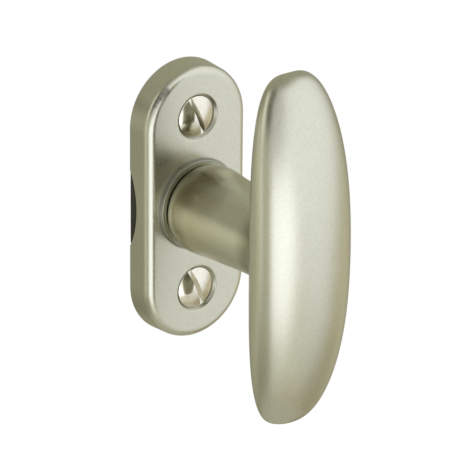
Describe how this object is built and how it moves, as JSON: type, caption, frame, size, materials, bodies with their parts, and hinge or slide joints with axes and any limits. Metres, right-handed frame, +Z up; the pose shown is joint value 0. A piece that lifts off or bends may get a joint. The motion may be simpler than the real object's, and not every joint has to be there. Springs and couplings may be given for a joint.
{
  "type": "window olive handle",
  "caption": "Satin nickel window handle: a bowed olive grip on a round neck that turns on an oblong rose with visible slotted screws, a square spindle and a quarter-turn detent.",
  "frame": {"origin": "on the handle's turning axis, in the plane of the rose's back, where it lies on the window", "axes": "+Z up along the rose, -Y towards the room, +Y into the window along the spindle, +X to the right seen from the room"},
  "size_m": [0.0288, 0.0675, 0.0856],
  "materials": {
    "satin_nickel": "cast brass, satin nickel plated, fine matt grain",
    "bright_nickel": "brass, polished nickel plated",
    "black_plastic": "moulded, fine grain",
    "spring_steel": "blued spring steel, oiled",
    "zinc_steel": "bright zinc plated"
  },
  "bodies": {
    "rose": {"rose_plate": "satin_nickel", "bearing_bush": "black_plastic", "detent_housing": "black_plastic", "detent_spring_left": "spring_steel", "detent_spring_right": "spring_steel", "fixing_screw_top": "bright_nickel", "fixing_screw_bottom": "bright_nickel", "housing_screw_upper": "zinc_steel", "housing_screw_lower": "zinc_steel"},
    "handle": {"olive_handle": "satin_nickel", "detent_cam": "zinc_steel", "retaining_ring": "spring_steel", "square_spindle": "zinc_steel", "grub_screw": "zinc_steel"}
  },
  "joints": [
    {"name": "handle_turn", "type": "hinge", "parent": "rose", "child": "handle", "pos_m": [0, 0, 0], "axis": [0, -1, 0], "continuous": true, "deforming": ["detent_spring_left", "detent_spring_right"]}
  ]
}
